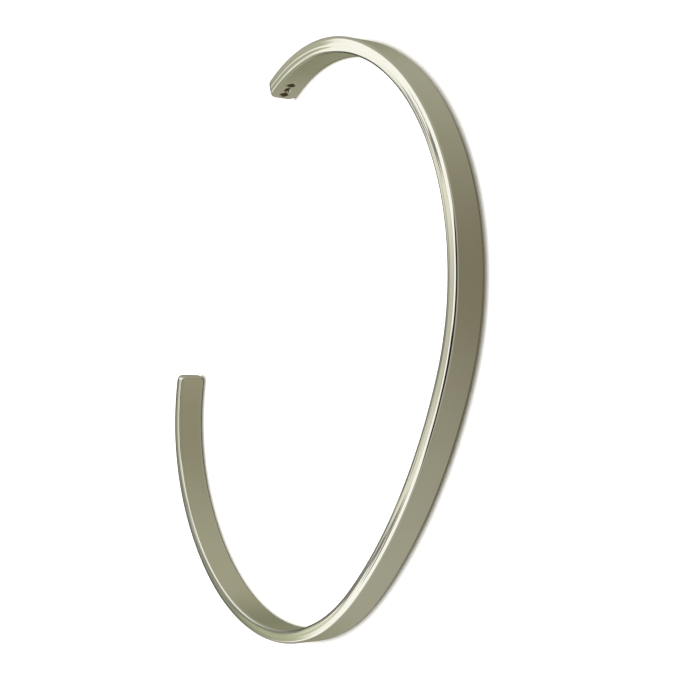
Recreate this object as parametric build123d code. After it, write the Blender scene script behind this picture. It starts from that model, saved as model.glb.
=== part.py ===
"""Torque bangle: one flat bar of sterling silver bent on its flat into an open oval.

The bangle lies on one narrow edge, so the hollow for the wrist stands upright.
Millimetres. Origin: middle of the oval, on the plane the bangle rests on.
+X is the back of the bangle, -X the gap, +Y the arm with the marked tip, +Z up.
"""
import os

from build123d import *

# The bar
bar_width = 3.05        # along Z, the wide face seen when the bangle is worn
bar_thickness = 1.35    # across the wall, from the wrist outwards
rim_softness = 0.3      # radius rubbed onto every long corner of the bar
plain_end_corner = 0.55     # radius of the two corners of a sawn end, seen on the wide face
marked_end_corner = 0.85

# The oval, as tangent arcs along the middle of the bar, starting at the back
back_radius = 50.0      # the nearly straight back
back_angle = 14.0       # degrees, from the middle of the back to each side
side_radius = 24.0      # the two sides that bend round the wrist
side_angle = 103.5
hook_radius = 18.5      # the tighter hooks that hold the bangle on
marked_hook_angle = 35.75
plain_hook_angle = 44.0

# The row of plain punches on the wrist side of the marked tip
punch_depth = 0.14
punch_spacing = 0.8     # along the bar
punch_from_end = 1.55   # from the sawn end to the middle punch
lozenge_width = 0.72    # along the bar
lozenge_height = 1.05   # across the bar
disc_diameter = 0.64


def arm(half, hook_angle):
    """Back, side and hook arcs of the mid-line: half is 1 for the +Y arm and -1 for the -Y arm."""
    back = JernArc(start=(0, 0), tangent=(0, half), radius=back_radius, arc_size=half * back_angle)
    side = JernArc(start=back @ 1, tangent=back % 1, radius=side_radius, arc_size=half * side_angle)
    hook = JernArc(start=side @ 1, tangent=side % 1, radius=hook_radius, arc_size=half * hook_angle)
    return [back, side, hook]


def beside(arc, distance):
    """The same arc moved outwards by a distance, away from its centre."""
    centre = arc.arc_center
    scale = (arc.radius + distance) / arc.radius
    start, middle, end = [centre + (arc @ place - centre) * scale for place in (0, 0.5, 1)]
    return ThreePointArc(start, middle, end)


def plan_outline(marked_arm, plain_arm):
    """Closed outline of the bar seen from above: outer arcs, inner arcs and two square ends."""
    half_wall = bar_thickness / 2
    lines = []
    for arcs in (marked_arm, plain_arm):
        outer = [beside(arc, half_wall) for arc in arcs]
        inner = [beside(arc, -half_wall) for arc in arcs]
        sawn_end = Line(outer[-1] @ 1, inner[-1] @ 1)
        lines += outer + inner + [sawn_end]
    return make_face(lines)


def crosswise_end_edges(bar, tip):
    """The two edges across the wall at one sawn end, top and bottom."""
    found = []
    for edge in bar.edges():
        middle = edge @ 0.5
        distance = (Vector(middle.X, middle.Y) - tip).length
        if distance < 0.01 and abs(edge.length - bar_thickness) < 0.01:
            found.append(edge)
    return found


def punch_plane(hook, distance_from_end):
    """Plane on the wrist face of a hook: x runs along the bar and z points into the metal."""
    place = 1 - distance_from_end / hook.length
    outwards = (hook @ place - hook.arc_center).normalized()
    inner_radius = hook.radius - bar_thickness / 2
    on_face = hook.arc_center + outwards * inner_radius
    origin = (on_face.X, on_face.Y, bar_width / 2)
    return Plane(origin=origin, x_dir=hook % place, z_dir=outwards)


def lozenge():
    """Diamond outline, taller across the bar than along it."""
    half_w = lozenge_width / 2
    half_h = lozenge_height / 2
    return make_face(Polyline((half_w, 0), (0, half_h), (-half_w, 0), (0, -half_h), close=True))


def punches(hook):
    """Lozenge, disc, lozenge: three solids that reach punch_depth into the wrist face."""
    clear_of_face = 0.2
    tools = []
    for step, outline in ((-1, lozenge()), (0, Circle(disc_diameter / 2)), (1, lozenge())):
        plane = punch_plane(hook, punch_from_end + step * punch_spacing)
        tool = extrude(outline, punch_depth + clear_of_face)
        tools.append(plane * Pos(0, 0, -clear_of_face) * tool)
    return tools


# The bar, bent
marked_arm = arm(1, marked_hook_angle)
plain_arm = arm(-1, plain_hook_angle)
bar = extrude(plan_outline(marked_arm, plain_arm), bar_width)

# The sawn ends rounded, then the long corners softened all the way round
bar = fillet(crosswise_end_edges(bar, marked_arm[-1] @ 1), marked_end_corner)
bar = fillet(crosswise_end_edges(bar, plain_arm[-1] @ 1), plain_end_corner)
long_corners = bar.faces().filter_by(Axis.Z).edges().filter_by(GeomType.CIRCLE)
bar = fillet(long_corners, rim_softness)

# The marked tip punched
for tool in punches(marked_arm[-1]):
    bar = bar - tool

# The middle of the oval moved to the origin
box = bar.bounding_box()
bangle = Pos(-(box.min.X + box.max.X) / 2, 0, 0) * bar

os.makedirs("parts", exist_ok=True)
export_step(bangle, "parts/bangle.step")

size = bangle.bounding_box().size
back_shift = bangle.bounding_box().max.X - bar_thickness / 2
print(f"bangle {size.X:.2f} x {size.Y:.2f} x {size.Z:.2f} mm, {bangle.volume:.1f} cubic mm")
print(f"middle of the back at x = {back_shift:.4f} mm")
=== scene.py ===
# %% [markdown]
# # A torque bangle in sterling silver
# The object is one flat bar of silver bent on its flat into an open oval. It has no clasp: it
# is slipped over the wrist sideways, through the gap. So there is one piece to model, and
# all of its looks come from three things: an exact, smooth surface, a polished metal, and
# the light tent that the metal mirrors.

import math

import bpy
import numpy as np
from mathutils import Matrix, Vector


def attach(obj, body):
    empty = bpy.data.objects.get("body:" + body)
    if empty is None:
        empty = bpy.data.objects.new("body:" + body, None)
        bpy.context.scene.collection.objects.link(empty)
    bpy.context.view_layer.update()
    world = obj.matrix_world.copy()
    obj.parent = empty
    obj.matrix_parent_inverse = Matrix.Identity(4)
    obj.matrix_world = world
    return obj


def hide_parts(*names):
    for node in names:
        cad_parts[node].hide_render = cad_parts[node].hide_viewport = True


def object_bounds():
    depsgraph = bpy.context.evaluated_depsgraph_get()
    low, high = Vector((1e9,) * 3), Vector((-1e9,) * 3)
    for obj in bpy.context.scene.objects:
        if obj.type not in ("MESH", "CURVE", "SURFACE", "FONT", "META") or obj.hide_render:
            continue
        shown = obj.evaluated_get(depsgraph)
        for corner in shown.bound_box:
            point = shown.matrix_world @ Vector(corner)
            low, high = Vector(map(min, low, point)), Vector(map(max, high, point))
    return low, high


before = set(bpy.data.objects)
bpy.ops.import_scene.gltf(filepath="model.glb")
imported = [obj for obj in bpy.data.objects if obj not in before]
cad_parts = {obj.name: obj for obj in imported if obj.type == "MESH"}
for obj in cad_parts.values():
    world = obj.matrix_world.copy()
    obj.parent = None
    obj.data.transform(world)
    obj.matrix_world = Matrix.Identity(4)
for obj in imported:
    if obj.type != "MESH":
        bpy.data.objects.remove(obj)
cad_box = [list(corner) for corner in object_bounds()]
cad_low, cad_high = np.array(cad_box) * 1000
print("CAD box in mm:", np.round([cad_low, cad_high], 3).tolist())

# %% [markdown]
# ## The bar and its bends
# The maker starts from flat bar, 3 mm by 1.35 mm, and bends it round an oval mandrel. In
# Blender such a bar could be a curve with a bevel. Here its surface is worked out with numpy,
# because a polished face shows every unevenness, and a formula has none. The middle of the
# bar runs through three bends on each arm: a nearly straight back, a side that goes round the
# wrist, and a tighter hook. Sizes are in millimetres here, and the mesh is turned to metres
# at the end.

# %% Sizes of the bar and its bends
bar_width = round(float(cad_high[2] - cad_low[2]), 2)
bar_thickness = 1.35
plain_end_corner, marked_end_corner = 0.55, 0.85    # radii of the sawn ends on the wide faces
back_radius, side_radius, hook_radius = 50.0, 24.0, 18.5
back_turn, side_turn = math.radians(14.0), math.radians(103.5)
marked_hook_turn, plain_hook_turn = math.radians(35.75), math.radians(44.0)

plain_arm = [(hook_radius, plain_hook_turn), (side_radius, side_turn), (back_radius, back_turn)]
marked_arm = [(back_radius, back_turn), (side_radius, side_turn), (hook_radius, marked_hook_turn)]
bends = plain_arm + marked_arm
bar_length = sum(radius * turn for radius, turn in bends)
print(f"bar {bar_width} mm wide and {bar_length:.1f} mm long along its middle")

# %% [markdown]
# ## The mid-line as a function of distance
# A bar bent over a mandrel by hand doesn't jump from one radius to the next, and a polished
# face shows such a jump. So the curvature is a list of steps that is averaged over a few
# millimetres. Adding it up once gives the heading, and adding the heading up gives the place.

# %% The mid-line
bend_blend = 7.0    # mm over which one bend passes into the next
step = 0.01         # mm between the samples that are added up


def worked_mid_line():
    """Distance, place and outward direction all along the bar.

    Curvature k(s) = 1 / radius, averaged over bend_blend. Heading h(s) = start + sum of k ds.
    Place = sum of (cos h, sin h) ds. The outward direction is the heading turned 90 degrees
    clockwise, because the bar always bends to its left.
    """
    s = np.arange(0.0, bar_length + step, step)
    ends = np.cumsum([radius * turn for radius, turn in bends])
    which = np.minimum(np.searchsorted(ends, s), len(bends) - 1)
    curvature = 1.0 / np.array([radius for radius, turn in bends])[which]
    window = np.hanning(int(bend_blend / step))
    padded = np.pad(curvature, len(window), mode="edge")
    curvature = np.convolve(padded, window / window.sum(), mode="same")[len(window):-len(window)]
    heading = np.concatenate([[0.0], np.cumsum((curvature[1:] + curvature[:-1]) / 2 * step)])
    back = np.searchsorted(s, ends[len(plain_arm) - 1])
    heading += math.pi / 2 - heading[back]
    x = np.concatenate([[0.0], np.cumsum(np.cos((heading[1:] + heading[:-1]) / 2) * step)])
    y = np.concatenate([[0.0], np.cumsum(np.sin((heading[1:] + heading[:-1]) / 2) * step)])
    return s, x - x[back], y - y[back], np.sin(heading), -np.cos(heading)


line_s, line_x, line_y, out_x, out_y = worked_mid_line()

# %% [markdown]
# ## The mid-line laid into the frame
# The blended bends end a little away from where sharp ones would. The CAD box says where the
# back and the two sides have to be, so the whole line is moved there. After that one function
# takes any point from the straight bar to the bent one.

# %% The mid-line in its place
inside_box = 0.002    # mm between the back of the bangle and the CAD box
outer_x = line_x + out_x * bar_thickness / 2
outer_y = line_y + out_y * bar_thickness / 2
line_x += cad_high[0] - inside_box - outer_x.max()
line_y += (cad_low[1] + cad_high[1]) / 2 - (outer_y.max() + outer_y.min()) / 2
print(f"oval {np.ptp(outer_x):.2f} x {np.ptp(outer_y):.2f} mm, CAD {np.round(cad_high - cad_low, 2)}")


def on_bar(s, across, up):
    """Points for distance s along the bar, across (outwards) and up (from the floor).

    Place = mid-line(s) + across * outward(s) + up * Z, with the mid-line read from the table.
    """
    x = np.interp(s, line_s, line_x) + across * np.interp(s, line_s, out_x)
    y = np.interp(s, line_s, line_y) + across * np.interp(s, line_s, out_y)
    return np.stack([x, y, up], axis=-1)


# %% [markdown]
# ## The profile of an edge
# Filed and rubbed silver has no true flats or sharp corners. Each narrow edge is slightly
# crowned, and runs into its two corners without a crease. A crease of even one degree would
# show as a line in the mirror finish, and a bevel modifier leaves such creases. So the
# profile is three arcs that share their tangents: corner, crown, corner. Each side has a
# lean, which is how far the crown has turned outwards or inwards where it meets that corner.
# With 2.4 degrees on both sides the edge looks nearly flat. With 7 on the outside and less
# than 0 on the wrist side all of it tips outwards.

# %% Profile of a narrow edge
rim_radius = 0.33    # of the outer long corners
flat_lean = 2.4      # degrees
corner_steps, crown_steps = 11, 14


def edge_profile(outer, outer_radius, inner_radius, outer_lean, inner_lean):
    """Across and outwards places of one edge, from the outer wide face to the wrist face.

    Everything has a value per row. outer is how far the outer wide face is from the mid-line.
    A corner is radius * (cos a, sin a) about its centre, with a from 0 to 90 degrees minus its
    lean. The crown is an arc that meets both corners at their tangents. It spans the sum over
    both sides of (half width left by the corner + corner radius * sin lean), and its radius is
    that span / (sin outer lean + sin inner lean). Outwards is 0 where the crown is level.
    """
    wide, radius_out, radius_in, lean_out, lean_in = (
        np.asarray(value, float)[:, None]
        for value in (outer, outer_radius, inner_radius, outer_lean, inner_lean))
    half_out, half_in = wide - radius_out, bar_thickness / 2 - radius_in
    reach_out = half_out + radius_out * np.sin(lean_out)
    reach_in = half_in + radius_in * np.sin(lean_in)
    crown_radius = (reach_out + reach_in) / (np.sin(lean_out) + np.sin(lean_in))
    middle = reach_out - crown_radius * np.sin(lean_out)
    swing = np.cos(np.linspace(0, math.pi, crown_steps + 1))
    tilt = (lean_out - lean_in) / 2 + (lean_out + lean_in) / 2 * swing
    across, outwards = [], []
    for half, radius, lean, side in ((half_out, radius_out, lean_out, 1),
                                     (half_in, radius_in, lean_in, -1)):
        angle = (math.pi / 2 - lean) * np.linspace(0, 1, corner_steps + 1)[:-1]
        centre = (crown_radius - radius) * np.cos(lean) - crown_radius
        across.append(side * (half + radius * np.cos(angle)))
        outwards.append(centre + radius * np.sin(angle))
    crown_across = middle + crown_radius * np.sin(tilt)
    crown_outwards = crown_radius * (np.cos(tilt) - 1)
    return (np.concatenate([across[0], crown_across, across[1][:, ::-1]], axis=1),
            np.concatenate([outwards[0], crown_outwards, outwards[1][:, ::-1]], axis=1))


lean = [math.radians(flat_lean)]
across, outwards = edge_profile([bar_thickness / 2], [rim_radius], [rim_radius], lean, lean)
print(f"edge profile: {across.shape[1]} points, crown {-outwards[0, corner_steps] * 1000:.0f} microns")

# %% [markdown]
# ## Stations along the bar
# Seen on its wide face the bar is a long rectangle with rounded corners. The edge profile is
# carried round that outline. A station is one place on the upper half of the outline; the
# lower half is its mirror image. Stations are close together round the end corners and under
# the row of punches, and further apart where the bar only bends.

# %% Stations
end_steps, even_steps = 18, 329
leaving, closing = 0.9, 0.6      # mm over which the stations spread out, and close up again
crowding = 1.3                   # above 1 they lie closer at the crowded end
under_punches = (bar_length - 2.75, 0.036)    # where the finest stations begin, and their step
least_step = 0.01                # mm that these keep from the end's corner


def stations():
    """Distance s, height above the bar's middle and outline normal, from the plain end.

    Each end is a quarter circle: s = c (1 - cos a), height = half width + c (sin a - 1), with
    the outline's normal at (-cos a, sin a). Between the two the height is half the width.
    """
    a = np.linspace(0, math.pi / 2, end_steps + 1)
    start, stop = plain_end_corner, bar_length - marked_end_corner
    fine, fine_step = under_punches
    run = np.concatenate([start + leaving * np.linspace(0, 1, 13)[1:-1] ** crowding,
                          np.linspace(start + leaving, fine - closing, even_steps + 1),
                          fine - closing * np.linspace(1, 0, 9)[1:-1] ** crowding,
                          np.arange(fine, stop - least_step, fine_step)])
    level = 0 * run
    s = np.concatenate([plain_end_corner * (1 - np.cos(a)), run,
                        bar_length - marked_end_corner * (1 - np.cos(a[::-1]))])
    drop = np.concatenate([plain_end_corner * (np.sin(a) - 1), level,
                           marked_end_corner * (np.sin(a[::-1]) - 1)])
    normal_s = np.concatenate([-np.cos(a), level, np.cos(a)[::-1]])
    normal_up = np.concatenate([np.sin(a), level + 1, np.sin(a)[::-1]])
    return s, bar_width / 2 + drop, normal_s, normal_up


station_s, station_up, normal_s, normal_up = stations()
print(f"{len(station_s)} stations, {np.diff(station_s).max():.2f} mm apart at most")

# %% [markdown]
# ## How the edges change along the bar
# The sawn ends were rubbed rounder than the long corners, so that they don't scratch, and a
# file never keeps quite one shape along a bar. So each station has its own corner radii and
# its own crown: the corners of the wrist face are sharper than the outer ones, and towards
# the marked tip the bar has stayed a little thicker and its edges tip outwards. A change is
# written as an amount and two distances from the plain end: where it begins, where it is whole.

# %% Edge shape at each station
wrist_rim_radius = 0.27
end_rim_radius, wrist_end_radius = 0.42, 0.2    # round the sawn ends
end_reach = 1.1                                 # mm from an end over which these come in
waver_height = 0.01                             # mm that a corner's radius wanders
waver_waves = ((3.1, 1.0, 0.0), (1.7, 0.7, 1.0), (0.83, 0.5, 2.0))    # mm, share, phase
swell = (0.25, 113, 125)             # mm of extra thickness on the outer side
sharper_wrist_plain = (-0.15, 40, 15)        # mm off the wrist corners' radius
sharper_wrist_marked = (-0.15, 112, 126)
sharper_outer_marked = (-0.08, 124, 130)     # mm off the outer corners' radius
lean_plain = (1.2, 20, 0)            # degrees more lean on both sides
lean_wrist_plain = (5.5, 31, 9)      # degrees more lean on the wrist side
lean_wrist_marked = (-4.4, 121, 130)
lean_outer_marked = (4.2, 119, 128)  # degrees more lean on the outer side


def smooth(x):
    """Smooth step: 0 below 0, 1 above 1, and 3x^2 - 2x^3 between."""
    x = np.clip(x, 0.0, 1.0)
    return x * x * (3 - 2 * x)


def change(s, amount, begins, whole):
    """Amount times a smooth step of s that is 0 where it begins and 1 where it is whole."""
    return amount * smooth((s - begins) / (whole - begins))


def edge_shape(s):
    """Distance of the outer face from the mid-line, two corner radii and two leans, at each s."""
    waver = waver_height * sum(share * np.sin(s / mm + phase) for mm, share, phase in waver_waves)
    near_end = smooth(1 - np.minimum(s, bar_length - s) / end_reach)
    radius_out = rim_radius + waver
    radius_in = wrist_rim_radius + waver
    radius_in += change(s, *sharper_wrist_plain) + change(s, *sharper_wrist_marked)
    radius_out += (end_rim_radius - radius_out) * near_end
    radius_in += (wrist_end_radius - radius_in) * near_end
    radius_out += change(s, *sharper_outer_marked)
    lean = flat_lean + change(s, *lean_plain)
    lean_out = lean + change(s, *lean_outer_marked)
    lean_in = lean + change(s, *lean_wrist_plain) + change(s, *lean_wrist_marked)
    outer = bar_thickness / 2 + change(s, *swell)
    return outer, radius_out, radius_in, np.radians(lean_out), np.radians(lean_in)


edge = edge_shape(station_s)
for name, radii in (("outer", edge[1]), ("wrist", edge[2])):
    print(f"{name} corner radius {radii.min():.2f} to {radii.max():.2f} mm")

# %% [markdown]
# ## The closed skin
# One loop per station goes round the section: upper edge, wrist face, lower edge, outer
# face. The loops make a tube. Each sawn end is closed with one more grid, between the upper
# and the lower edge profile. A cap with a single centre point would be simpler, but its thin
# triangles pinch a mirror image.

# %% Grids of the skin
face_steps = 56
face_crowding = 0.035    # how far the rows of a wide face are drawn towards its two corners
share = np.linspace(0, 1, face_steps + 1)
down = 1 - 2 * (share - face_crowding * np.sin(2 * math.pi * share))    # 1 at the top, -1 below


def wide_face(corner, way):
    """Grid over a wide face: each station's corner point, its height times 1 to -1 or back."""
    return np.stack([corner[..., 0] + 0 * way, corner[..., 1] + 0 * way, corner[..., 2] * way], -1)


def tube_grid():
    """Grid of (s, across, height) with a row per station and a column per point of the loop."""
    s, up, along_s, along_up = (a[:, None] for a in (station_s, station_up, normal_s, normal_up))
    across, outwards = edge_profile(*edge)
    upper = np.stack([s + along_s * outwards, across, up + along_up * outwards], -1)
    lower = upper[:, ::-1] * (1, 1, -1)
    wrist, outer = wide_face(upper[:, -1:], down), wide_face(upper[:, :1], -down)
    return np.concatenate([upper[:, :-1], wrist[:, :-1], lower[:, :-1], outer[:, :-1]], 1)


def end_grid(i):
    """Grid of (s, across, height) over the sawn end at station i, from upper to lower edge."""
    across, outwards = edge_profile(*(row[[i]] for row in edge))
    way = down[:, None]
    return np.stack([station_s[i] + normal_s[i] * outwards + 0 * way, across + 0 * way,
                     station_up[i] * way + 0 * across], -1)


tube, plain_end, marked_end = tube_grid(), end_grid(0), end_grid(-1)
print("tube", tube.shape[:2], "ends", plain_end.shape[:2])

# %% [markdown]
# ## The row of punches
# Inside one tip, on the wrist side, is a row of three plain punches: a lozenge, a disc and a
# lozenge. Each is one blow of a hard steel tool. A Boolean modifier could cut them, but it
# would break up the even grid, and the mirror finish would show it. Here the grid is fine
# enough to be pushed in instead: how deep a point sinks depends on how far inside an outline
# it lies, with walls that slope a little and a lip where the metal was pushed aside.

# %% Depth of the punches
punch_depth = 0.14
punch_spacing = 0.8
punch_from_end = 1.55
lozenge_half_width, lozenge_half_height = 0.36, 0.525
disc_radius = 0.32
wall_slope = 0.07    # mm over which a wall goes down
lip_height = 0.03    # mm
lip_middle, lip_spread = 1.3, 0.7    # outside the outline, counted in wall slopes


def punched(s, height):
    """How deep in a punch, from 0 to 1, and how high on the lip around it, from 0 to 1.

    How far a point lies inside a lozenge is (1 - |a| / w - |b| / h) * w h / sqrt(w^2 + h^2),
    and inside the disc it is radius - distance. The lip is a bell curve just outside. Lengths
    on the wrist face are shorter than on the mid-line, by 1 - half the thickness / radius.
    """
    along = (bar_length - s) * (1 - bar_thickness / 2 / hook_radius)
    w, h = lozenge_half_width, lozenge_half_height
    inside = np.full(np.shape(s), -1.0)
    for number in (-1, 0, 1):
        a = along - punch_from_end - number * punch_spacing
        if number == 0:
            reach = disc_radius - np.hypot(a, height)
        else:
            reach = (1 - np.abs(a) / w - np.abs(height) / h) * w * h / math.hypot(w, h)
        inside = np.maximum(inside, reach)
    slopes = inside / wall_slope
    return smooth(slopes + 0.5), np.exp(-((slopes + lip_middle) / lip_spread) ** 2)


grids = [tube, plain_end, marked_end]
local = np.concatenate([grid.reshape(-1, 3) for grid in grids])
on_wrist_face = np.isclose(local[:, 1], -bar_thickness / 2)
deep, lip = (np.where(on_wrist_face, share, 0.0) for share in punched(local[:, 0], local[:, 2]))
across = local[:, 1] + punch_depth * deep - lip_height * lip
points = on_bar(local[:, 0], across, local[:, 2] + bar_width / 2)
print(np.count_nonzero(deep), "points lie in a punch")

# %% [markdown]
# ## One closed mesh
# The three grids share the points along their seams. Those are made one point each, so that
# the skin has no gap and the smooth shading runs across the seam. A mesh is closed when every
# edge is used by two faces, once each way, and the test for that is printed.

# %% Faces
point_places = 1e5    # steps to a millimetre: points on the same step are one point


def quads(rows, columns, closed, flip):
    """Corner numbers of a grid's quads. closed joins the last column to the first."""
    row = np.arange(rows - 1)[:, None] * columns
    column = np.arange(columns if closed else columns - 1)[None, :]
    beside = (column + 1) % columns
    corners = np.stack([row + column, row + beside, row + columns + beside,
                        row + columns + column], -1).reshape(-1, 4)
    return corners[:, ::-1] if flip else corners


def signed_volume(points, faces):
    """Volume inside closed quads: the sum of a . (b x c) / 6 over their triangles."""
    total = 0.0
    for corners in ((0, 1, 2), (0, 2, 3)):
        a, b, c = (points[faces[:, corner]] for corner in corners)
        total += np.einsum("ij,ij->i", a, np.cross(b, c)).sum() / 6
    return total


faces, start = [], 0
for grid, closed, flip in zip(grids, (True, False, False), (True, False, True)):
    rows, columns = grid.shape[:2]
    faces.append(quads(rows, columns, closed, flip) + start)
    start += rows * columns
places = np.round(points * point_places).astype(np.int64)
places, first_of, joined = np.unique(places, axis=0, return_index=True, return_inverse=True)
points, local, deep = points[first_of], local[first_of], deep[first_of]
faces = joined.reshape(-1)[np.concatenate(faces)]

edges = np.concatenate([faces[:, [i, (i + 1) % 4]] for i in range(4)])
one_way = len(np.unique(edges, axis=0))
both_ways = len(np.unique(np.sort(edges, axis=1), axis=0)) * 2
print(f"{len(points)} points, {len(faces)} quads, volume {signed_volume(points, faces):.1f} mm3")
print("every edge is used once each way:", len(edges) == one_way == both_ways)

# %% [markdown]
# ## The object, and what each point knows
# Every point keeps its distance, across and height in millimetres in an attribute, because
# the polishing lines follow the bar and not the room. It also keeps how deep in a punch it
# lies. UVs could do the same, but they have no third direction, and a seam.

# %% The bangle
mesh = bpy.data.meshes.new("bangle_silver")
mesh.from_pydata((points / 1000).tolist(), [], faces.tolist())
mesh.polygons.foreach_set("use_smooth", np.ones(len(faces), bool))
on_the_bar = mesh.attributes.new("bar_mm", "FLOAT_VECTOR", "POINT")
on_the_bar.data.foreach_set("vector", local.astype(np.float32).ravel())
in_a_punch = mesh.attributes.new("punched", "FLOAT", "POINT")
in_a_punch.data.foreach_set("value", deep.astype(np.float32))
mesh.update()
bangle = bpy.data.objects.new("bangle_silver", mesh)
bpy.context.scene.collection.objects.link(bangle)
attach(bangle, "root")
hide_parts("bangle")
print("object:", bangle.name, "with", [attribute.name for attribute in (on_the_bar, in_a_punch)])

# %% [markdown]
# ## Two small helpers for materials
# Colours are written as sRGB hex, as a paint program shows them, and Blender wants linear
# light. Nodes are added with one function, so a material reads as a list of steps.


# %% Helpers
def linear(hex_colour):
    """Linear RGBA of an sRGB hex colour: ((c + 0.055) / 1.055)^2.4, or c / 12.92 when dark."""
    c = np.array([int(hex_colour[i:i + 2], 16) for i in (1, 3, 5)]) / 255
    c = np.where(c <= 0.04045, c / 12.92, ((c + 0.055) / 1.055) ** 2.4)
    return (*c.tolist(), 1.0)


def add(tree, kind, inputs=None, **settings):
    """Adds one node. settings are its properties; inputs are values, or sockets to link."""
    node = tree.nodes.new(kind)
    for name, value in settings.items():
        setattr(node, name, value)
    for key, value in (inputs or {}).items():
        if isinstance(value, bpy.types.NodeSocket):
            tree.links.new(value, node.inputs[key])
        else:
            node.inputs[key].default_value = value
    return node


# %% [markdown]
# ## Polished sterling silver
# Sterling is 92.5 percent silver, filed, sanded along the bar and then polished with rouge.
# To the eye it is a nearly perfect mirror with a warm cast. What is left of the sanding is a
# set of fine lines along the bar, which only show as a slight smear of the reflections. A
# plain metal shader with one roughness would look like chrome plate. So the material reads
# the bar's own millimetres and draws lines, flats and faint clouds from them: a noise that is
# stretched along the bar makes lines, and a coarser one makes flats.

# %% Lines, flats and clouds
silver = bpy.data.materials.new("sterling_silver_rouge_polished")
silver.use_nodes = True
tree = silver.node_tree
tree.nodes.clear()
place = add(tree, "ShaderNodeAttribute", attribute_name="bar_mm").outputs["Vector"]
punch = add(tree, "ShaderNodeAttribute", attribute_name="punched").outputs["Fac"]

# A polishing line is about 0.02 mm apart from the next; these are 0.12 mm, so that they show.
line_scale = (0.12, 8.0, 8.0)    # per mm along, across and up
stretched = add(tree, "ShaderNodeVectorMath", {0: place, 1: line_scale}, operation="MULTIPLY")
lines = add(tree, "ShaderNodeTexNoise", {"Vector": stretched.outputs[0], "Scale": 1.0,
                                         "Detail": 3.0, "Roughness": 0.6})
# The file leaves flats about 0.3 mm wide and many millimetres long, which the buff only softens.
flat_scale = (0.08, 3.4, 3.4)
flattened = add(tree, "ShaderNodeVectorMath", {0: place, 1: flat_scale}, operation="MULTIPLY")
flats = add(tree, "ShaderNodeTexNoise", {"Vector": flattened.outputs[0], "Scale": 1.0,
                                         "Detail": 1.0, "Roughness": 0.5})
cloud = add(tree, "ShaderNodeTexNoise", {"Vector": place, "Scale": 0.35, "Detail": 2.0,
                                         "Roughness": 0.5})
print("textures:", [node.name for node in (lines, flats, cloud)])

# %% [markdown]
# ## Colour and gloss
# The silver is a warm white that clouds over a little where the air has dulled it. The fine
# lines make it glossier and duller by turns. Inside the punches the polish never reached, so
# they keep a dark, matt sulphide film, and the row can be read from a distance.

# %% Colour and roughness
clear_silver, dulled_silver, film = linear("#F2F1EA"), linear("#ECEADF"), linear("#75674A")
film_roughness = 0.5
# A mix of colours has them in sockets 6 and 7 and its result in output 2; numbers use 2, 3 and 0.
tone = add(tree, "ShaderNodeMix", {0: cloud.outputs["Fac"], 6: clear_silver, 7: dulled_silver},
           data_type="RGBA")
colour = add(tree, "ShaderNodeMix", {0: punch, 6: tone.outputs[2], 7: film}, data_type="RGBA")
gloss = add(tree, "ShaderNodeMapRange", {"Value": lines.outputs["Fac"], "From Min": 0.3,
                                         "From Max": 0.7, "To Min": 0.03, "To Max": 0.075})
rough = add(tree, "ShaderNodeMix", {0: punch, 2: gloss.outputs["Result"], 3: film_roughness},
            data_type="FLOAT")
print("colour and roughness:", colour.name, "and", rough.name)

# %% [markdown]
# ## What the file left
# The wide faces were rolled flat, so the file's flats belong to the narrow edges and corners.
# Near the marked tip the file was used last, after the punches. It cut deeper there, and one
# stroke left a shallow groove on the wrist side of the edge's middle. These break the long
# bright lines up a little, as hand work does. They are far too shallow to be worth a finer
# mesh, so they are a height for the bump.

# %% Height of the file marks
tip_filing = (116, 126)    # mm from the plain end: where the deeper filing begins, and is whole
tip_depth = 1.6            # how much deeper it is there
groove_middle, groove_reach, groove_edge = -0.13, 0.2, 1.3    # mm across, mm, height beside it
parts = add(tree, "ShaderNodeSeparateXYZ", {"Vector": place})
from_middle = add(tree, "ShaderNodeMath", {0: parts.outputs["Z"]}, operation="ABSOLUTE")
filed = add(tree, "ShaderNodeMapRange", {"Value": from_middle.outputs[0], "From Min": 1.1,
                                         "From Max": 1.35, "To Min": 0.12, "To Max": 1.0},
            interpolation_type="SMOOTHSTEP")
near_tip = add(tree, "ShaderNodeMapRange", {"Value": parts.outputs["X"],
                                            "From Min": tip_filing[0], "From Max": tip_filing[1]},
               interpolation_type="SMOOTHSTEP")
deeper = add(tree, "ShaderNodeMath", {0: near_tip.outputs["Result"], 1: tip_depth, 2: 1.0},
             operation="MULTIPLY_ADD")
aside = add(tree, "ShaderNodeMath", {0: parts.outputs["Y"], 1: groove_middle}, operation="SUBTRACT")
from_groove = add(tree, "ShaderNodeMath", {0: aside.outputs[0]}, operation="ABSOLUTE")
groove = add(tree, "ShaderNodeMapRange", {"Value": from_groove.outputs[0], "From Min": 0.0,
                                          "From Max": groove_reach, "To Min": 0.0,
                                          "To Max": groove_edge},
             interpolation_type="SMOOTHSTEP")
strokes = add(tree, "ShaderNodeMath", {0: flats.outputs["Fac"], 1: deeper.outputs[0]},
              operation="MULTIPLY")
worn = add(tree, "ShaderNodeMath", {0: groove.outputs["Result"], 1: near_tip.outputs["Result"],
                                    2: strokes.outputs[0]}, operation="MULTIPLY_ADD")
relief = add(tree, "ShaderNodeMath", {0: worn.outputs[0], 1: filed.outputs["Result"]},
             operation="MULTIPLY")
print("file marks come from", len(tree.nodes), "nodes so far")

# %% [markdown]
# ## The metal itself
# Two bumps are chained: the fine lines first, and the file marks on top of them. The depths
# are real ones, a micron or so for the lines and 13 for the file marks. Anything deeper
# would tear the mirror image apart.

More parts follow.
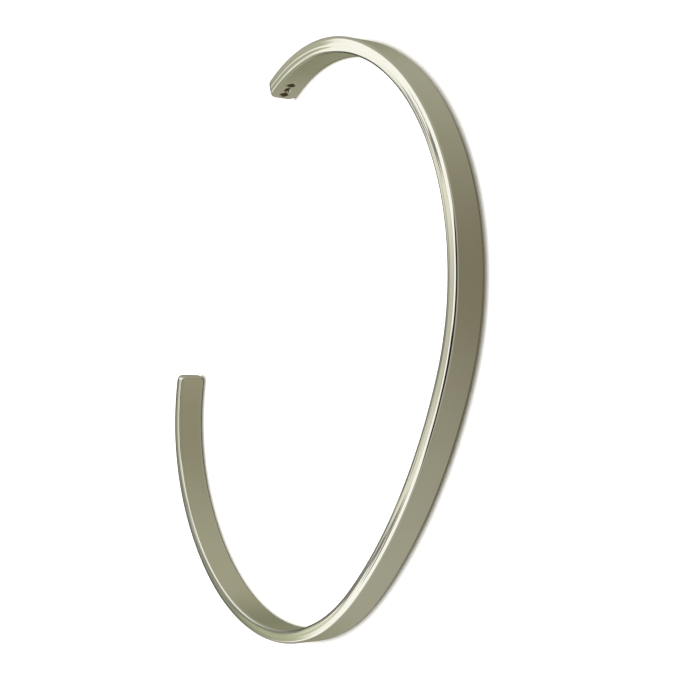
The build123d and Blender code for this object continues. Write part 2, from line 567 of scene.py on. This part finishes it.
# %% Shader of the silver
line_depth, file_depth = 1.2e-6, 1.3e-5    # metres
fine = add(tree, "ShaderNodeBump", {"Height": lines.outputs["Fac"], "Strength": 1.0,
                                    "Distance": line_depth})
bump = add(tree, "ShaderNodeBump", {"Height": relief.outputs[0], "Strength": 1.0,
                                    "Distance": file_depth, "Normal": fine.outputs["Normal"]})
metal = add(tree, "ShaderNodeBsdfPrincipled", {"Base Color": colour.outputs[2],
                                               "Metallic": 1.0,
                                               "Roughness": rough.outputs[0],
                                               "Normal": bump.outputs["Normal"]})
add(tree, "ShaderNodeOutputMaterial", {"Surface": metal.outputs["BSDF"]})
mesh.materials.append(silver)
print("material:", silver.name, len(tree.nodes), "nodes")

# %% [markdown]
# ## The floor
# A plain pale sweep of paper: flat round the bangle, and far away curved up on all sides, so
# that no horizon shows from a low camera. A plane would be simpler, but it ends in a line.
# The silver doesn't mirror the paper: its rays go on to the light tent instead, whose lower
# half stands for the table that the bangle was lit on. Nor does the raised rim keep any of
# the tent's light from the paper.

# %% Floor
flat_reach, sweep_radius, hole_radius = 0.6, 0.9, 0.001    # metres
turns, rises = np.linspace(0, 2 * math.pi, 97)[:-1], np.radians(np.linspace(0, 75, 25))


def sweep_grid():
    """Points of the paper, a row per ring: distance r = flat reach + radius * sin(rise), height
    h = radius * (1 - cos(rise)), place = (r cos(turn), r sin(turn), h). One small inner ring
    comes first.
    """
    r = np.concatenate([[hole_radius], flat_reach + sweep_radius * np.sin(rises)])[:, None]
    h = np.concatenate([[0.0], sweep_radius * (1 - np.cos(rises))])[:, None]
    return np.stack([r * np.cos(turns), r * np.sin(turns), h + 0 * turns], -1)


sweep = sweep_grid()
rings, around = sweep.shape[:2]
middle_face = [list(range(around))]
floor_faces = quads(rings, around, closed=True, flip=True).tolist() + middle_face
floor_mesh = bpy.data.meshes.new("paper_floor")
floor_mesh.from_pydata(sweep.reshape(-1, 3).tolist(), [], floor_faces)
floor_mesh.polygons.foreach_set("use_smooth", np.ones(len(floor_faces), bool))
floor = bpy.data.objects.new("paper_floor", floor_mesh)
bpy.context.scene.collection.objects.link(floor)
floor.visible_glossy = floor.visible_diffuse = floor.visible_shadow = False
paper = bpy.data.materials.new("matt_white_paper")
paper.use_nodes = True
paper.node_tree.nodes["Principled BSDF"].inputs["Base Color"].default_value = linear("#F6F5F3")
paper.node_tree.nodes["Principled BSDF"].inputs["Roughness"].default_value = 0.9
floor_mesh.materials.append(paper)
print("floor:", len(floor_faces), "faces")

# %% [markdown]
# ## The light tent
# A polished bangle shows nothing but its surroundings, so the surroundings are modelled as
# carefully as the piece. They could be cards and lamps standing in the scene. A world shader
# is easier to steer, because each spot of a mirror shows one direction of the world: all of
# the tent is a function of azimuth round the bangle and elevation above the floor. The roof
# leans a little, so its elevation is measured from a leaning axis.

# %% Directions in degrees
world = bpy.data.worlds.new("light_tent")
world.use_nodes = True
bpy.context.scene.world = world
sky = world.node_tree
sky.nodes.clear()
ray = add(sky, "ShaderNodeTexCoord").outputs["Generated"]


def direction_to(azimuth, height):
    """Unit vector towards an azimuth and an elevation in degrees."""
    a, e = math.radians(azimuth), math.radians(height)
    return math.cos(a) * math.cos(e), math.sin(a) * math.cos(e), math.sin(e)


def degrees_from(direction, socket):
    """Socket with the angle in degrees between a direction and a socket's unit vector."""
    dot = add(sky, "ShaderNodeVectorMath", {0: socket, 1: direction}, operation="DOT_PRODUCT")
    angle = add(sky, "ShaderNodeMath", {0: dot.outputs["Value"]}, operation="ARCCOSINE")
    return add(sky, "ShaderNodeMath", {0: angle.outputs[0]}, operation="DEGREES").outputs[0]


roof_lean, leans_towards = 2.2, 122
roof_axis = direction_to(leans_towards, 90 - roof_lean)
height = add(sky, "ShaderNodeVectorMath", {0: ray, 1: roof_axis}, operation="DOT_PRODUCT")
radians = add(sky, "ShaderNodeMath", {0: height.outputs["Value"]}, operation="ARCSINE")
elevation = add(sky, "ShaderNodeMath", {0: radians.outputs[0]}, operation="DEGREES").outputs[0]
level = add(sky, "ShaderNodeVectorMath", {0: ray, 1: (1, 1, 0)}, operation="MULTIPLY")
level = add(sky, "ShaderNodeVectorMath", {0: level.outputs[0]}, operation="NORMALIZE").outputs[0]
print("roof axis:", np.round(roof_axis, 3).tolist())

# %% [markdown]
# ## How the tent is painted
# The tent is painted in layers, each laid over the ones before it. A layer covers a zone of
# directions with soft borders. The borders matter: on the metal a sharp one is a crisp line
# and a soft one a slow change of tone.


# %% Layers and belts
def laid_on(light, colour, *zones):
    """Socket: light with colour laid over it, inside every zone at once.

    A zone is (value, whole, ended): its smooth step is 1 where value is at whole or beyond it
    and 0 where it is at ended. The steps of all zones are multiplied.
    """
    share = 1.0
    for value, whole, ended in zones:
        step = add(sky, "ShaderNodeMapRange", {"Value": value, "From Min": ended,
                                               "From Max": whole}, interpolation_type="SMOOTHSTEP")
        share = add(sky, "ShaderNodeMath", {0: share, 1: step.outputs["Result"]},
                    operation="MULTIPLY").outputs[0]
    return add(sky, "ShaderNodeMix", {0: share, 6: light, 7: colour}, data_type="RGBA").outputs[2]


def azimuth_from(centre):
    """Socket with how many degrees of azimuth the ray is from centre."""
    return degrees_from(direction_to(centre, 0), level)


def patch(light, colour, azimuth, half_width, low, *high):
    """Socket: light with a patch of colour on it, a rectangle of azimuth and elevation.

    half_width, low and high are pairs of degrees, where the patch is whole and where it has
    ended. Without high it goes all the way up.
    """
    limits = [(elevation, *limit) for limit in (low, *high)]
    return laid_on(light, colour, (azimuth_from(azimuth), *half_width), *limits)


def belts(stops):
    """Socket with a colour for each elevation, blended straight between (degrees, hex) stops."""
    share = add(sky, "ShaderNodeMapRange", {"Value": elevation, "From Min": -90, "From Max": 90})
    ramp = add(sky, "ShaderNodeValToRGB", {"Fac": share.outputs["Result"]})
    marks = ramp.color_ramp.elements
    marks.remove(marks[-1])
    for number, (degrees, hex_colour) in enumerate(stops):
        mark = marks[0] if number == 0 else marks.new((degrees + 90) / 180)
        mark.position, mark.color = (degrees + 90) / 180, linear(hex_colour)
    return ramp.outputs["Color"]


# %% [markdown]
# ## Table, sides and roof
# From below upwards the tent has a dark table, olive-grey sides and a bright roof. The roof
# starts at about 29 degrees, just where the narrow edges look, so their crown is half grey and
# half white. Behind the bangle, as the camera sees it, the sides are darker low down, and a
# dark rail runs under the roof. The wide faces mirror the low part of the sides, and that
# gives them their even olive grey.

# %% Belts of colour
table = [(-90, "#46423B"), (-58, "#514E46"), (-46, "#7C7A69"), (-38.5, "#A2A192")]
roof = [(28.2, "#B2B69C"), (29.7, "#F4F3E8"), (31, "#FFFFFA")]
in_front = belts(table + [(-25, "#A1A08A"), (-12, "#A5A398"), (20, "#A7A69B")] + roof)
behind = belts(table + [(-34, "#A0A08E"), (-29, "#84856D"), (-25, "#81826C"), (-14, "#8C8B7E"),
                        (20, "#A7A69B")] + roof)
rail = belts([(-90, "#4B4C47"), (20, "#4B4C47"), (22, "#6A6B63"), (24, "#8A8A7B"),
              (26, "#9B9E8A"), (26.8, "#A8AC90"), (28.3, "#AFB497"), (29, "#E2E4CF"),
              (29.7, "#F5F3E6"), (31, "#FFFFFA")])
light = laid_on(in_front, behind, (azimuth_from(-140), 28, 72))
light = patch(light, rail, -144, (11, 24), (-14, -24))
print("belts:", len(sky.nodes), "nodes")

# %% [markdown]
# ## Cards, window and photographer
# Two white cards reach further down than the roof, and draw thin bright lines on the outer
# corners of the bar. A dark cloth on the table behind the bangle draws the thin dark line
# beside the wrist face. The window behind it has a grey frame, a sill and a jamb, and its pane
# is less bright than the roof: they are the grey lines that wander over the narrow edge. The
# photographer stands dark in front, higher on one side, and the shade of both camera and
# hands makes the table darkest below.

# %% Patches of the tent
white, cloth, frame_grey, dark = (
    linear(colour) for colour in ("#FFFFFA", "#4A4B3E", "#7E7E78", "#24221F"))
light = patch(light, white, 180, (9, 13), (28, 26))
light = patch(light, white, -104, (12, 17), (17, 12))
light = patch(light, cloth, -152, (9, 14), (-43, -47), (-33, -30))

window = -148.7
pane = laid_on(linear("#E4E2D4"), linear("#C2C1B0"), (azimuth_from(window), 2.0, 9.0))
light = patch(light, frame_grey, window, (13.4, 14.2), (33.5, 31.7), (53, 57))
light = patch(light, frame_grey, -145.5, (9.8, 11.5), (27.5, 26), (33, 36))
light = patch(light, frame_grey, -139.3, (3.0, 4.5), (27.5, 26), (53, 57))
light = patch(light, pane, window, (10.4, 11.2), (34.5, 31.4), (45, 47))
light = patch(light, pane, -139.6, (1.3, 2.1), (31, 28.5), (45, 47))

light = patch(light, dark, 20, (44, 50), (19, 14), (64, 72))
light = patch(light, dark, -10, (12, 18), (19, 14), (74, 81))
light = laid_on(light, linear("#6D654F"), (degrees_from(direction_to(42, -67), ray), 10, 68))
glow = add(sky, "ShaderNodeBackground", {"Color": light, "Strength": 1.08})
add(sky, "ShaderNodeOutputWorld", {"Surface": glow.outputs["Background"]})
print("light tent:", len(sky.nodes), "nodes")

# %% [markdown]
# ## The lamp for the floor
# One large soft light, far off and a little behind the bangle, lifts the paper to white and
# lays the short shadow that the bar throws towards the camera. A sun lamp with a wide angle
# does that evenly over the whole floor, which an area lamp doesn't. It is hidden from the
# mirror, so it doesn't add a second bright spot to the silver.

# %% Lamp
lamp = bpy.data.lights.new("overhead_softbox", "SUN")
lamp.angle = math.radians(14)
lamp.energy = 2.6
lamp_object = bpy.data.objects.new("overhead_softbox", lamp)
towards = Vector(direction_to(-148, 82))
lamp_object.rotation_euler = towards.to_track_quat("Z", "Y").to_euler()
lamp_object.visible_glossy = False
bpy.context.scene.collection.objects.link(lamp_object)
print("lamp:", lamp.energy, "watts per square metre")

# %% [markdown]
# ## The camera
# The photograph looks down at about 30 degrees on the bangle, from the side of its back,
# and is turned so that the long way of the oval stands upright. So the camera can't simply
# be aimed at a target, which keeps it level. Its own right side and its own back give the
# turn as well, and the third axis is square to both.

# %% Camera
eye = Vector((0.08826, 0.05693, 0.06225))    # metres
right = Vector((0.42604, 0.30136, -0.85303))
back = Vector((0.72698, 0.44719, 0.52107)).normalized()
up = back.cross(right).normalized()
right = up.cross(back)
camera_data = bpy.data.cameras.new("camera")
camera_data.lens = 64.5
camera_data.clip_start = 0.001
camera = bpy.data.objects.new("camera", camera_data)
camera.matrix_world = Matrix.Translation(eye) @ Matrix((right, up, back)).transposed().to_4x4()
bpy.context.scene.collection.objects.link(camera)
bpy.context.scene.camera = camera
bpy.context.scene.view_settings.view_transform = "Standard"
looks_down = math.degrees(math.asin(back.z))
print(f"camera {eye.length * 1000:.0f} mm from the middle, looking down {looks_down:.0f} degrees")
